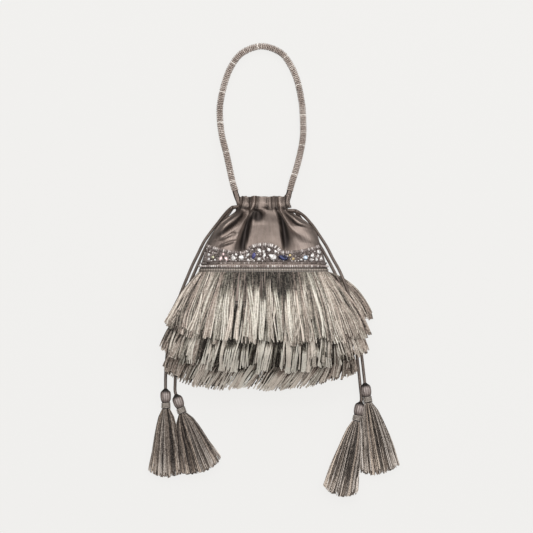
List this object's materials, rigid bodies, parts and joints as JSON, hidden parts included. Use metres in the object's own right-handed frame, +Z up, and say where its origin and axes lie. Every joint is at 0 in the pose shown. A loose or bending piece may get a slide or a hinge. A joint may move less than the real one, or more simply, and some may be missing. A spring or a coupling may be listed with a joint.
{
  "type": "potli bag",
  "caption": "Drawstring pouch of taupe satin with a jewelled band, tiered silk fringe, tasselled cords and a beaded rope handle, lying on its back.",
  "frame": {"origin": "on the table, under the middle of the pouch and handle", "axes": "+Z up from the table out of the bag's front, +Y from the base of the pouch towards the handle, +X to the right as seen from above"},
  "size_m": [0.2598, 0.473, 0.0669],
  "materials": {
    "satin": "satin",
    "lining": "matte",
    "cord": "satin",
    "band": "embroidered",
    "beads": "gloss",
    "crystal_clear": "faceted",
    "crystal_pink": "faceted",
    "crystal_olive": "faceted",
    "crystal_indigo": "faceted",
    "crystal_navy": "faceted",
    "crystal_gold": "faceted",
    "crystal_ice": "faceted",
    "fringe": "silk",
    "tape": "woven",
    "tassel": "silk",
    "binding": "silk",
    "handle_beads": "gloss",
    "rope": "matte"
  },
  "bodies": {
    "root": {"satin_body": "satin", "lining": "lining", "drawstring_left": "cord", "drawstring_right": "cord", "embroidered_band": "band", "scallop_bead_line": "beads", "bead_row_upper": "beads", "bead_row_lower": "beads", "bead_row_back": "beads", "stone_clear_round_far_left": "crystal_clear", "stone_clear_round_low_left": "crystal_clear", "stone_olive_round": "crystal_olive", "stone_pink_oval": "crystal_pink", "stone_pink_pear_left": "crystal_pink", "stone_pink_pear_right": "crystal_pink", "stone_clear_pear_left": "crystal_clear", "stone_bright_round": "crystal_clear", "stone_clear_marquise_left": "crystal_clear", "stone_indigo_marquise": "crystal_indigo", "stone_clear_round_mid": "crystal_clear", "stone_clear_pear_mid": "crystal_clear", "stone_clear_marquise_mid": "crystal_clear", "stone_clear_round_top": "crystal_clear", "stone_clear_large_pear": "crystal_clear", "stone_navy_large_marquise": "crystal_navy", "stone_gold_round_top": "crystal_gold", "stone_gold_round_right": "crystal_gold", "stone_ice_blue_round": "crystal_ice", "stone_clear_pear_right": "crystal_clear", "stone_ringed_round": "crystal_clear", "stone_clear_round_low_right": "crystal_clear", "fringe_tape_front_upper": "tape", "fringe_tape_front_middle": "tape", "fringe_tape_front_lower": "tape", "fringe_tape_back_upper": "tape", "fringe_tape_back_middle": "tape", "fringe_tape_back_lower": "tape", "fringe_front_upper": "fringe", "fringe_front_middle": "fringe", "fringe_front_lower": "fringe", "fringe_back_upper": "fringe", "fringe_back_middle": "fringe", "fringe_back_lower": "fringe", "tassel_left_outer_head": "tassel", "tassel_left_outer_binding": "binding", "tassel_left_outer_skirt": "tassel", "tassel_left_inner_head": "tassel", "tassel_left_inner_binding": "binding", "tassel_left_inner_skirt": "tassel", "tassel_right_upper_head": "tassel", "tassel_right_upper_binding": "binding", "tassel_right_upper_skirt": "tassel", "tassel_right_lower_head": "tassel", "tassel_right_lower_binding": "binding", "tassel_right_lower_skirt": "tassel", "handle_bead_sleeve": "handle_beads", "handle_rope_core": "rope", "handle_tab_left": "satin", "handle_tab_right": "satin"}
  },
  "joints": []
}
